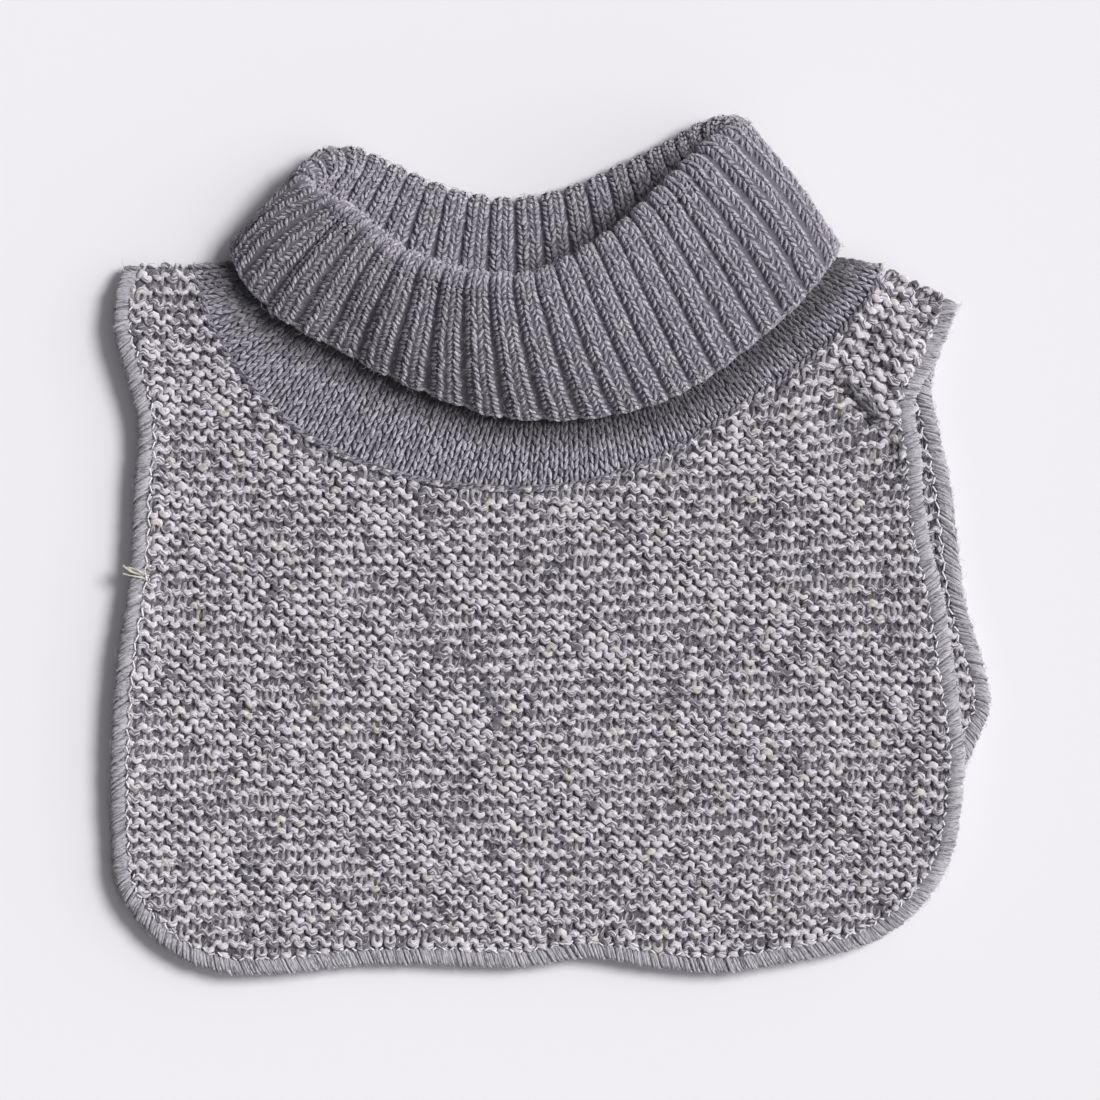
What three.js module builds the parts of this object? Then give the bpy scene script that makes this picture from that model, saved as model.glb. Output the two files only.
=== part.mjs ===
// A knitted neck warmer lying on its back: a turn-down ribbed collar on a plain yoke, with a marled bib
// that goes from the front over both shoulders to the back, and a thick stitched hem round its edge.
// Millimetres, +Z up, +Y from the lower hem to the collar. The neck hole opens towards +Y.
// Every piece is a ring. A place on a ring is given by its turn: 0 at the left shoulder fold,
// 0.25 in the middle of the front, 0.5 at the right shoulder fold and 0.75 in the middle of the back.
import * as THREE from "three";

// Driving dimensions
const BIB_THICK = 2.6;
const YOKE_THICK = 3;
const COLLAR_THICK = 4;
const HEM_WIDE = 5.4;
const HEM_THICK = 4;
const JOINT_GAP = 0.5;
const HEM_GAP = 0.5; // between the bib's cloth and the round of the hem
const TURN_DOWN_GAP = 1.2; // between the collar's standing layer and its turned-down layer
const FRONT_REST = 4.8; // height of the middle of the front cloth, which lies on the back cloth
const FLAP_BULGE = 3; // how far the turned-down layer swells between rim and edge
const STAND_BULGE = 1.2;
const FOLD_THINNING = 0.7; // share by which the cloth is pressed thinner at the shoulder folds
const FOLD_REACH = 0.02; // turn over which it is
const CREST_THINNING = 0.3; // the same at the collar's crest
const CREST_REACH = 0.1; // share of the collar's strip over which it is
const FOLD_LIFT = 1.8; // how much higher the front cloth lies beside its folds

// Fineness
const SECTIONS = 92;
const CROWD_AT_FOLDS = 0.6; // 0 spaces the sections evenly, 1 puts them all at the shoulder folds
const STAND_STEPS = 3;
const CREST_STEPS = 4;
const FLAP_STEPS = 4;
const YOKE_STEPS = 3;
const BIB_STEPS = 6;
const HEM_SIDES = 8;
const STEP = 1e-4; // small change of turn or share, to find a direction
const TURN_STEP = 0.003; // the same for the normals of the cloth, wider to smooth them at the folds

// Where the collar's standing layer ends and where its turned-down layer begins, as shares of its strip
const STAND_END = 0.4;
const FLAP_START = 0.55;

// The share of the yoke's width over which it stays high behind, reached within a turn of each fold
const YOKE_HELD = 0.42;
const HOLD_REACH = 0.07;

// The collar's rim, which is the fold between its two layers
const RIM = table(
  "turn x y z",
  [0.0, -87.5, 131, 19.0],
  [0.02, -77, 123.5, 25.0],
  [0.05, -70.7, 119.2, 28.0],
  [0.1, -57.4, 107.3, 31.0],
  [0.15, -41.2, 99.7, 34.0],
  [0.2, -23.2, 95.8, 36.0],
  [0.25, -4.9, 95.8, 36.5],
  [0.3, 11.3, 103.7, 36.0],
  [0.35, 26.5, 113.8, 35.0],
  [0.4, 39.8, 126.4, 33.0],
  [0.45, 52.7, 139, 29.0],
  [0.48, 62, 148, 24.0],
  [0.5, 67.2, 151.8, 19.0],
  [0.52, 63.9, 153, 13.0],
  [0.55, 55, 150.4, 7.5],
  [0.6, 44.8, 144.7, 4.9],
  [0.67, 25.4, 135, 4.9],
  [0.73, 4, 126.2, 4.9],
  [0.78, -15.7, 123.1, 4.9],
  [0.84, -37.3, 127.1, 4.9],
  [0.9, -56.7, 135, 4.9],
  [0.95, -73, 141.4, 7.5],
  [0.98, -83, 138.6, 13.0],
);

// The free edge of the collar's turned-down layer
const FLAP_EDGE = table(
  "turn x y z",
  [0.0, -114.5, 107.5, 9],
  [0.02, -111.5, 99.5, 14],
  [0.05, -100.3, 86.8, 15],
  [0.1, -76.5, 73.1, 14.6],
  [0.15, -49.5, 59.8, 13.8],
  [0.2, -18.9, 49.3, 13.1],
  [0.25, 10.6, 48.2, 13.1],
  [0.3, 35.1, 52.6, 13.2],
  [0.35, 53.8, 61.2, 14],
  [0.4, 71.8, 74.2, 15],
  [0.45, 90.2, 90.4, 15.6],
  [0.48, 99.5, 101.5, 14.6],
  [0.5, 103.6, 108, 9],
  [0.52, 102, 106.5, 4],
  [0.535, 98, 103, 2.6],
  [0.55, 93, 99, 2.3],
  [0.6, 74, 88, 2.3],
  [0.67, 42, 79, 2.3],
  [0.73, 10, 75, 2.3],
  [0.78, -16, 74, 2.3],
  [0.84, -48, 77, 2.3],
  [0.9, -82, 87, 2.3],
  [0.95, -104, 99, 2.3],
  [0.965, -109, 103.5, 2.6],
  [0.98, -113.5, 107, 4],
);

// Where the collar joins the yoke, hidden under the turned-down layer
const NECK = table(
  "turn x y z",
  [0.0, -105, 103, 10],
  [0.02, -101, 97.5, 12.4],
  [0.05, -91.5, 92, 12.4],
  [0.1, -70, 81.5, 11.8],
  [0.15, -45.5, 70, 10.6],
  [0.2, -17.5, 61, 9.8],
  [0.25, 9.3, 59.8, 9.8],
  [0.3, 31.5, 64, 9.8],
  [0.35, 48.5, 72.3, 10.6],
  [0.4, 64.2, 84, 11.8],
  [0.45, 79.5, 97, 12.4],
  [0.48, 87, 103.5, 12.4],
  [0.5, 91.5, 106, 10],
  [0.52, 88, 104.6, 7.6],
  [0.55, 82, 101.5, 7.6],
  [0.6, 66, 95, 7.6],
  [0.67, 37, 88.5, 7.6],
  [0.73, 9, 85.5, 7.6],
  [0.78, -16, 84.5, 7.6],
  [0.84, -46, 87, 7.6],
  [0.9, -77, 94.5, 7.6],
  [0.95, -96, 100.5, 7.6],
  [0.98, -102.5, 102.5, 7.6],
);

// The seam between yoke and bib
const SEAM = table(
  "turn x y z",
  [0.0, -129.1, 101.8, 4.2],
  [0.015, -127.6, 96.5, 6.8],
  [0.05, -119.3, 74.9, 6.8],
  [0.1, -93.4, 45.4, 6.4],
  [0.15, -63.2, 29.9, 6.2],
  [0.2, -26.8, 22.7, 6.2],
  [0.25, 10.6, 23.8, 6.2],
  [0.3, 42.3, 35.3, 6.3],
  [0.35, 66.4, 50.4, 6.6],
  [0.4, 85.5, 63.4, 7.4],
  [0.45, 104.9, 79.2, 9],
  [0.485, 116.6, 94.5, 9.2],
  [0.5, 118.6, 101.6, 5.6],
  [0.515, 116.5, 97, 2.5],
  [0.53, 112.5, 92, 1.7],
  [0.55, 104, 85, 1.5],
  [0.6, 84, 70, 1.5],
  [0.68, 45, 60, 1.5],
  [0.75, 0, 56, 1.5],
  [0.82, -48, 60, 1.5],
  [0.9, -90, 72, 1.5],
  [0.95, -114, 87, 1.5],
  [0.97, -121.8, 93, 1.6],
  [0.985, -127, 98, 2.1],
);

// The outer edge of the hem: down the left side, along the bottom and up the right side of the front,
// then the same way back underneath
const HEM_EDGE = table(
  "turn x y z",
  [0.0, -152.8, 101.6, 4.8],
  [0.012, -156, 93, 8.2],
  [0.025, -156.4, 77, 8.4],
  [0.036, -151.7, 60.5, 8],
  [0.047, -148.1, 42.5, 7.4],
  [0.056, -149.6, 22, 7],
  [0.068, -151, -9, 7.4],
  [0.08, -155.5, -40, 8],
  [0.094, -157.9, -75, 7.6],
  [0.107, -157.5, -102.2, 6.8],
  [0.12, -154.3, -124.2, 6.6],
  [0.132, -138.4, -142.9, 6.6],
  [0.144, -117.5, -151.9, 7],
  [0.156, -97, -151.9, 7.6],
  [0.172, -72.9, -149.4, 6.6],
  [0.192, -48.8, -148.7, 6.4],
  [0.225, -7.4, -149.4, 6.4],
  [0.24, 14.2, -146.5, 7.2],
  [0.255, 35.8, -149.8, 6.8],
  [0.272, 61.7, -151.7, 7],
  [0.288, 82.6, -148.7, 7.4],
  [0.304, 109.3, -143.3, 6.6],
  [0.32, 126.9, -133.9, 6.4],
  [0.334, 137.3, -123.1, 6.4],
  [0.347, 144.9, -108, 6.6],
  [0.36, 147.8, -88.9, 6.8],
  [0.373, 148.9, -73.8, 6.4],
  [0.386, 146.3, -51.8, 5.4],
  [0.402, 142, -21.6, 5.2],
  [0.418, 136.6, 1.8, 5.2],
  [0.434, 133.7, 20, 5.6],
  [0.448, 133.4, 34, 6.2],
  [0.46, 131.2, 45, 6.6],
  [0.47, 130.9, 54, 7],
  [0.48, 135.6, 63.5, 8],
  [0.49, 141.2, 74.5, 8.6],
  [0.5, 146.5, 88, 5.2],
  [0.51, 144, 82, 2.4],
  [0.52, 139.5, 70, 2.1],
  [0.53, 137, 58, 2],
  [0.54, 139.8, 43, 2],
  [0.552, 144.2, 21, 2],
  [0.565, 148.5, -15, 2],
  [0.578, 155, -39.2, 2],
  [0.59, 158.1, -56, 2],
  [0.6, 153.5, -68.8, 2],
  [0.61, 146.5, -84, 2],
  [0.625, 143, -104, 2],
  [0.64, 135, -121, 2],
  [0.66, 112, -137, 2],
  [0.69, 66, -147, 2],
  [0.72, 18, -143.5, 2],
  [0.75, -20, -146, 2],
  [0.785, -70, -146.5, 2],
  [0.81, -104, -149.3, 2],
  [0.835, -136, -141.5, 2],
  [0.855, -154.5, -125, 2],
  [0.875, -158.3, -100, 2],
  [0.9, -155.5, -58, 2],
  [0.925, -149.5, -8, 2],
  [0.945, -147, 32, 2],
  [0.96, -149.5, 56, 2],
  [0.975, -154, 78, 2.1],
  [0.988, -155, 93, 2.4],
);

// Folds and dents of the front cloth: a long hump each, with its middle, its direction in degrees,
// its half length, its half width and its height, which is negative for a dent
const BIB_FOLDS = table(
  "x y along long wide high",
  [111, 54, -48, 13, 4, -0.6],
  [126, 74, -48, 17, 9, 4],
  [98, 42, -48, 14, 8, 1],
  [-141, 80, 75, 24, 12, 1.5],
  [-85, -30, 20, 70, 22, 0.8],
  [60, -80, -12, 80, 26, 0.8],
  [85, 20, -40, 34, 12, 0.9],
);

// Dents of the turned-down layer, each by its turn and its share of the strip
const COLLAR_DENTS = table(
  "turn share wideTurn wideShare deep",
  [0.1, 0.84, 0.02, 0.12, 2.4],
  [0.045, 0.75, 0.012, 0.2, 1.6],
  [0.16, 0.7, 0.015, 0.14, 0.8],
  [0.41, 0.8, 0.02, 0.16, 0.8],
);

// Moves the whole model so that the middle of its box is at the origin
const CENTRING = new THREE.Vector3(0.73, -0.95, 0.065);

// A short table: the first text names the columns, and each row is one place.
function table(columns, ...rows) {
  const names = columns.split(" ");
  return rows.map((row) => Object.fromEntries(names.map((name, i) => [name, row[i]])));
}

// The closed curve through the rows of a table, as a function of the turn.
function rail(rows) {
  const count = rows.length;
  const knot = (index) => {
    const lap = Math.floor(index / count);
    const row = rows[index - lap * count];
    return { turn: row.turn + lap, place: new THREE.Vector3(row.x, row.y, row.z) };
  };
  const speed = (from, to) => to.place.clone().sub(from.place).divideScalar(to.turn - from.turn);
  const tangent = (before, here, after) => {
    const share = (here.turn - before.turn) / (after.turn - before.turn);
    return speed(before, here).lerp(speed(here, after), share);
  };
  return (turn) => {
    const within = turn - Math.floor(turn);
    const index = rows.findLastIndex((row) => row.turn <= within);
    const [a, b, c, d] = [-1, 0, 1, 2].map((offset) => knot(index + offset));
    const span = c.turn - b.turn;
    const f = (within - b.turn) / span;
    const start = tangent(a, b, c).multiplyScalar(span * f * (1 - f) * (1 - f));
    const end = tangent(b, c, d).multiplyScalar(-span * f * f * (1 - f));
    return b.place.clone().lerp(c.place, f * f * (3 - 2 * f)).add(start).add(end);
  };
}

const rim = rail(RIM);
const flapEdge = rail(FLAP_EDGE);
const neck = rail(NECK);
const seam = rail(SEAM);
const hemEdge = rail(HEM_EDGE);

// The turns of all sections, closer together at the two shoulder folds.
const TURNS = Array.from({ length: SECTIONS }, (_, i) => {
  const even = i / SECTIONS;
  return even - (CROWD_AT_FOLDS / (4 * Math.PI)) * Math.sin(4 * Math.PI * even);
});

const smooth = (x) => THREE.MathUtils.smoothstep(x, 0, 1);

// 1 on the front, 0 on the back, changing smoothly round the shoulder folds.
function frontShare(turn) {
  const t = turn - Math.floor(turn);
  const FOLD_HALF = 0.012;
  const pastLeft = smooth((t + FOLD_HALF) / (2 * FOLD_HALF));
  const pastRight = smooth((t - 0.5 + FOLD_HALF) / (2 * FOLD_HALF));
  const backAtLeft = smooth((t - 1 + FOLD_HALF) / (2 * FOLD_HALF));
  return pastLeft - pastRight + backAtLeft;
}

// How far a turn is from the nearer shoulder fold.
const toShoulderFold = (turn) => Math.abs(turn - Math.round(turn * 2) / 2);

// The share of its thickness that the cloth keeps: less at the shoulder folds, where it is pressed.
function pressed(turn) {
  const toFold = toShoulderFold(turn) / FOLD_REACH;
  return 1 - FOLD_THINNING * Math.exp(-toFold * toFold);
}

// The length by which a strip stops short of a joint where it meets another strip at an angle,
// so that neither thickness reaches into the other.
function setBack(arriving, leaving, thick) {
  const bend = arriving.angleTo(leaving);
  return JOINT_GAP / 2 + (thick / 2) * Math.tan(bend / 2);
}

// Moves a point along a straight line towards another by a length.
const towards = (from, to, length) => from.clone().add(to.clone().sub(from).setLength(length));

// The places that fix the collar's strip at a turn: the middle of the crest's arc, the way up,
// the way out, and the ends of both layers.
function collarFrame(turn) {
  const top = rim(turn);
  const edge = flapEdge(turn);
  const foot = neck(turn);
  const up = top.clone().sub(foot.clone().add(edge).multiplyScalar(0.5)).normalize();
  const out = edge.clone().sub(foot);
  out.addScaledVector(up, -out.dot(up)).normalize();
  const radius = (COLLAR_THICK + TURN_DOWN_GAP) / 2;
  const middle = top.clone().addScaledVector(up, -radius);
  return { middle, up, out, radius, foot, edge };
}

function dentOfCollar(turn, share) {
  let deep = 0;
  for (const dent of COLLAR_DENTS) {
    const a = (turn - dent.turn) / dent.wideTurn;
    const b = (share - dent.share) / dent.wideShare;
    deep += dent.deep * Math.exp(-a * a - b * b);
  }
  return deep;
}

// The collar's cloth is pressed thinner where it turns down at the crest.
function collarThickness(share) {
  const toCrest = (share - (STAND_END + FLAP_START) / 2) / CREST_REACH;
  return COLLAR_THICK * (1 - CREST_THINNING * Math.exp(-toCrest * toCrest));
}

// The middle of the collar's cloth: up the standing layer, over the crest and down the outer layer.
function collarCloth(turn, share) {
  const { middle, up, out, radius, foot, edge } = collarFrame(turn);
  const standTop = middle.clone().addScaledVector(out, -radius);
  const flapTop = middle.clone().addScaledVector(out, radius);
  if (share < STAND_END) {
    const along = share / STAND_END;
    const yokeWay = foot.clone().sub(seam(turn));
    const start = towards(foot, standTop, setBack(yokeWay, standTop.clone().sub(foot), COLLAR_THICK));
    const swell = frontShare(turn) * STAND_BULGE * Math.sin(Math.PI * along);
    return start.lerp(standTop, along).addScaledVector(out, swell);
  }
  if (share < FLAP_START) {
    const angle = Math.PI * ((share - STAND_END) / (FLAP_START - STAND_END));
    return middle
      .addScaledVector(out, -radius * Math.cos(angle))
      .addScaledVector(up, radius * Math.sin(angle));
  }
  const along = (share - FLAP_START) / (1 - FLAP_START);
  const front = frontShare(turn);
  const swell = front * FLAP_BULGE * Math.sin(Math.PI * along) - front * dentOfCollar(turn, share);
  return flapTop.lerp(edge, along).addScaledVector(out, swell);
}

// The middle of the yoke's cloth, from the collar (share 0) to the seam with the bib (share 1).
// Behind, it stays high over the collar's turned-down layer before it comes down to the seam.
function yokeCloth(turn, share) {
  const foot = neck(turn);
  const low = seam(turn);
  const yokeWay = low.clone().sub(foot);
  const standWay = foot.clone().sub(collarCloth(turn, STAND_END / 2));
  const start = towards(foot, low, setBack(standWay, yokeWay, YOKE_THICK));
  const end = towards(low, foot, setBack(yokeWay, hemEdge(turn).sub(low), YOKE_THICK));
  const place = start.clone().lerp(end, share);
  const hold = YOKE_HELD * smooth(toShoulderFold(turn) / HOLD_REACH);
  const held = THREE.MathUtils.lerp(start.z, end.z, smooth((share - hold) / (1 - hold)));
  place.z = THREE.MathUtils.lerp(held, place.z, frontShare(turn));
  return place;
}

// The hem's own frame at a turn: its middle, the way in to the cloth and the way up through the band.
function hemFrame(turn) {
  const along = hemEdge(turn + STEP).sub(hemEdge(turn - STEP)).normalize();
  const edge = hemEdge(turn);
  const inwards = seam(turn).sub(edge);
  inwards.addScaledVector(along, -inwards.dot(along)).normalize();
  const over = new THREE.Vector3().crossVectors(inwards, along).normalize();
  const middle = edge.addScaledVector(inwards, HEM_WIDE / 2);
  return { middle, inwards, over };
}

function foldHeight(x, y) {
  let height = 0;
  for (const fold of BIB_FOLDS) {
    const angle = THREE.MathUtils.degToRad(fold.along);
    const dx = x - fold.x;
    const dy = y - fold.y;
    const a = (dx * Math.cos(angle) + dy * Math.sin(angle)) / fold.long;
    const b = (dy * Math.cos(angle) - dx * Math.sin(angle)) / fold.wide;
    height += fold.high * Math.exp(-a * a - b * b);
  }
  return height;
}

// The middle of the bib's cloth, from the seam with the yoke (share 0) to the hem (share 1).
function bibCloth(turn, share) {
  const top = seam(turn);
  const { middle, inwards } = hemFrame(turn);
  const end = middle.addScaledVector(inwards, HEM_WIDE / 2 + HEM_GAP);
  const start = towards(top, end, setBack(top.clone().sub(neck(turn)), end.clone().sub(top), BIB_THICK));
  const place = start.clone().lerp(end, share);
  const front = frontShare(turn);
  const lift = (FOLD_LIFT * (1 - pressed(turn))) / FOLD_THINNING;
  const rest = THREE.MathUtils.lerp(BIB_THICK / 2, FRONT_REST + lift, front);
  const fromSeam = (start.z - rest) * (1 - smooth(share / 0.3));
  const fromHem = (end.z - rest) * smooth((share - 0.75) / 0.25);
  const inside = Math.sin(Math.PI * Math.min(1, Math.max(0, share)));
  place.z = rest + fromSeam + fromHem + front * foldHeight(place.x, place.y) * Math.min(1, 2 * inside);
  return place;
}

// A closed body from rings of points, one ring for each section, joined to each other and to the first.
function closedRing(rings) {
  const count = rings.length;
  const around = rings[0].length;
  const places = rings.flat().flatMap((point) => point.toArray());
  const faces = [];
  for (let i = 0; i < count; i++) {
    for (let j = 0; j < around; j++) {
      const next = ((i + 1) % count) * around;
      const a = i * around + j;
      const b = i * around + ((j + 1) % around);
      const c = next + ((j + 1) % around);
      const d = next + j;
      faces.push(a, b, c, a, c, d);
    }
  }
  const geometry = new THREE.BufferGeometry();
  geometry.setAttribute("position", new THREE.Float32BufferAttribute(places, 3));
  geometry.setIndex(faces);
  geometry.computeVertexNormals();
  return geometry;
}

// A ring of cloth about its middle surface, with its thickness as a function of the share.
function clothRing(cloth, thick, shares) {
  const rings = TURNS.map((turn) => {
    const skins = shares.map((share) => {
      const across = cloth(turn, Math.min(1, share + STEP)).sub(cloth(turn, Math.max(0, share - STEP)));
      const along = cloth(turn + TURN_STEP, share).sub(cloth(turn - TURN_STEP, share));
      const normal = across.cross(along).setLength((thick(share) / 2) * pressed(turn));
      const place = cloth(turn, share);
      return { upper: place.clone().add(normal), lower: place.clone().sub(normal) };
    });
    const upper = skins.map((skin) => skin.upper);
    const lower = skins.map((skin) => skin.lower).reverse();
    return [...upper, ...lower];
  });
  return closedRing(rings);
}

const evenShares = (from, to, steps) =>
  Array.from({ length: steps }, (_, i) => from + ((to - from) * i) / steps);

function collarGeometry() {
  const shares = [
    ...evenShares(0, STAND_END, STAND_STEPS),
    ...evenShares(STAND_END, FLAP_START, CREST_STEPS),
    ...evenShares(FLAP_START, 1, FLAP_STEPS),
    1,
  ];
  return clothRing(collarCloth, collarThickness, shares);
}

function yokeGeometry() {
  return clothRing(yokeCloth, () => YOKE_THICK, [...evenShares(0, 1, YOKE_STEPS), 1]);
}

function bibGeometry() {
  return clothRing(bibCloth, () => BIB_THICK, [...evenShares(0, 1, BIB_STEPS), 1]);
}

function hemGeometry() {
  const rings = TURNS.map((turn) => {
    const { middle, inwards, over } = hemFrame(turn);
    return Array.from({ length: HEM_SIDES }, (_, i) => {
      const angle = (2 * Math.PI * i) / HEM_SIDES;
      return middle
        .clone()
        .addScaledVector(inwards, -(HEM_WIDE / 2) * Math.cos(angle))
        .addScaledVector(over, (HEM_THICK / 2) * pressed(turn) * Math.sin(angle));
    });
  });
  return closedRing(rings);
}

// Wool, with the mean colour of each piece
function wool(red, green, blue) {
  const color = new THREE.Color().setRGB(red, green, blue, THREE.SRGBColorSpace);
  return new THREE.MeshStandardMaterial({ color, roughness: 0.95, metalness: 0 });
}

const neckWarmer = new THREE.Group();

function addPiece(name, geometry, material) {
  const piece = new THREE.Mesh(geometry, material);
  piece.name = name;
  neckWarmer.add(piece);
}

addPiece("collar", collarGeometry(), wool(0.48, 0.47, 0.49));
addPiece("yoke", yokeGeometry(), wool(0.43, 0.42, 0.44));
addPiece("bib", bibGeometry(), wool(0.64, 0.63, 0.65));
addPiece("hem", hemGeometry(), wool(0.66, 0.66, 0.68));
neckWarmer.position.copy(CENTRING);

export default neckWarmer;
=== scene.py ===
import math

import bpy
import numpy as np
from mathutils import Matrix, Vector
from mathutils.bvhtree import BVHTree


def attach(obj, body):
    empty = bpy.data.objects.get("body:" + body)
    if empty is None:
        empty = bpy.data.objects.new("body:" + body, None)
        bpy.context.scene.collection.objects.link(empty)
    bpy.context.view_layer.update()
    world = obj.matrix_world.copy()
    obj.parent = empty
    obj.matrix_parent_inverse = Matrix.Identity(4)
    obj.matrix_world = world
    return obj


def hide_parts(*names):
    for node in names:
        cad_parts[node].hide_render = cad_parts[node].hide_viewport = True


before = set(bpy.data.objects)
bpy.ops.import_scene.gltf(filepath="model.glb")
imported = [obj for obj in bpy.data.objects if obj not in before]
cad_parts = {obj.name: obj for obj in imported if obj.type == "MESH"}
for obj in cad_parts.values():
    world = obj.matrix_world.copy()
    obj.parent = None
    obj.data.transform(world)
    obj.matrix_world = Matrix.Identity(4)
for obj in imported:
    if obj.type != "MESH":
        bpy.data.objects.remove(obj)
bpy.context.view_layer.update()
dice = np.random.default_rng(11)
TAU = 2 * math.pi
MM = 0.001
RESTING = 0.02  # height above the floor at which the wool is pressed flat

# Shape of the cloth, the same as in the part
JOINT_GAP = 0.5
HEM_GAP = 0.5
HEM_WIDE = 5.4
BIB_THICK = 2.6
YOKE_THICK = 3.0
COLLAR_THICK = 4.0
TURN_DOWN_GAP = 1.2
FRONT_REST = 4.8  # height of the middle of the front
FLAP_BULGE = 3.0
STAND_BULGE = 1.2
FOLD_THINNING = 0.7  # share of the thickness that is lost in the shoulder folds
FOLD_REACH = 0.02  # turns from a fold in which the cloth is thinner
FOLD_HALF = 0.012  # turns from a fold in which the front changes into the back
FOLD_LIFT = 1.8
STAND_END = 0.4  # share of the collar at which the standing layer ends
FLAP_START = 0.55  # share at which the turned-down layer starts
YOKE_HELD = 0.42  # share of the yoke's back that stays level with the neck
HOLD_REACH = 0.07
SEAM_REACH = 0.3  # share of the bib that rises to the seam
HEM_REACH = 0.25  # share of the bib that rises to the hem
STEP = 1e-4
TURN_STEP = 0.003
CENTRING = np.array([0.73, -0.95, 0.065])

# The collar's rim, which is the fold between its two layers: turn x y z
RIM = [
    [0.0, -87.5, 131, 19.0], [0.02, -77, 123.5, 25.0], [0.05, -70.7, 119.2, 28.0],
    [0.1, -57.4, 107.3, 31.0], [0.15, -41.2, 99.7, 34.0], [0.2, -23.2, 95.8, 36.0],
    [0.25, -4.9, 95.8, 36.5], [0.3, 11.3, 103.7, 36.0], [0.35, 26.5, 113.8, 35.0],
    [0.4, 39.8, 126.4, 33.0], [0.45, 52.7, 139, 29.0], [0.48, 62, 148, 24.0],
    [0.5, 67.2, 151.8, 19.0], [0.52, 63.9, 153, 13.0], [0.55, 55, 150.4, 7.5],
    [0.6, 44.8, 144.7, 4.9], [0.67, 25.4, 135, 4.9], [0.73, 4, 126.2, 4.9],
    [0.78, -15.7, 123.1, 4.9], [0.84, -37.3, 127.1, 4.9], [0.9, -56.7, 135, 4.9],
    [0.95, -73, 141.4, 7.5], [0.98, -83, 138.6, 13.0],
]

# The free edge of the collar's turned-down layer: turn x y z
FLAP_EDGE = [
    [0.0, -114.5, 107.5, 9], [0.02, -111.5, 99.5, 14], [0.05, -100.3, 86.8, 15],
    [0.1, -76.5, 73.1, 14.6], [0.15, -49.5, 59.8, 13.8], [0.2, -18.9, 49.3, 13.1],
    [0.25, 10.6, 48.2, 13.1], [0.3, 35.1, 52.6, 13.2], [0.35, 53.8, 61.2, 14],
    [0.4, 71.8, 74.2, 15], [0.45, 90.2, 90.4, 15.6], [0.48, 99.5, 101.5, 14.6],
    [0.5, 103.6, 108, 9], [0.52, 102, 106.5, 4], [0.535, 98, 103, 2.6],
    [0.55, 93, 99, 2.3], [0.6, 74, 88, 2.3], [0.67, 42, 79, 2.3],
    [0.73, 10, 75, 2.3], [0.78, -16, 74, 2.3], [0.84, -48, 77, 2.3],
    [0.9, -82, 87, 2.3], [0.95, -104, 99, 2.3], [0.965, -109, 103.5, 2.6],
    [0.98, -113.5, 107, 4],
]

# Where the collar joins the yoke: turn x y z
NECK = [
    [0.0, -105, 103, 10], [0.02, -101, 97.5, 12.4], [0.05, -91.5, 92, 12.4],
    [0.1, -70, 81.5, 11.8], [0.15, -45.5, 70, 10.6], [0.2, -17.5, 61, 9.8],
    [0.25, 9.3, 59.8, 9.8], [0.3, 31.5, 64, 9.8], [0.35, 48.5, 72.3, 10.6],
    [0.4, 64.2, 84, 11.8], [0.45, 79.5, 97, 12.4], [0.48, 87, 103.5, 12.4],
    [0.5, 91.5, 106, 10], [0.52, 88, 104.6, 7.6], [0.55, 82, 101.5, 7.6],
    [0.6, 66, 95, 7.6], [0.67, 37, 88.5, 7.6], [0.73, 9, 85.5, 7.6],
    [0.78, -16, 84.5, 7.6], [0.84, -46, 87, 7.6], [0.9, -77, 94.5, 7.6],
    [0.95, -96, 100.5, 7.6], [0.98, -102.5, 102.5, 7.6],
]

# The seam between yoke and bib: turn x y z
SEAM = [
    [0.0, -129.1, 101.8, 4.2], [0.015, -127.6, 96.5, 6.8], [0.05, -119.3, 74.9, 6.8],
    [0.1, -93.4, 45.4, 6.4], [0.15, -63.2, 29.9, 6.2], [0.2, -26.8, 22.7, 6.2],
    [0.25, 10.6, 23.8, 6.2], [0.3, 42.3, 35.3, 6.3], [0.35, 66.4, 50.4, 6.6],
    [0.4, 85.5, 63.4, 7.4], [0.45, 104.9, 79.2, 9], [0.485, 116.6, 94.5, 9.2],
    [0.5, 118.6, 101.6, 5.6], [0.515, 116.5, 97, 2.5], [0.53, 112.5, 92, 1.7],
    [0.55, 104, 85, 1.5], [0.6, 84, 70, 1.5], [0.68, 45, 60, 1.5],
    [0.75, 0, 56, 1.5], [0.82, -48, 60, 1.5], [0.9, -90, 72, 1.5],
    [0.95, -114, 87, 1.5], [0.97, -121.8, 93, 1.6], [0.985, -127, 98, 2.1],
]

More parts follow.
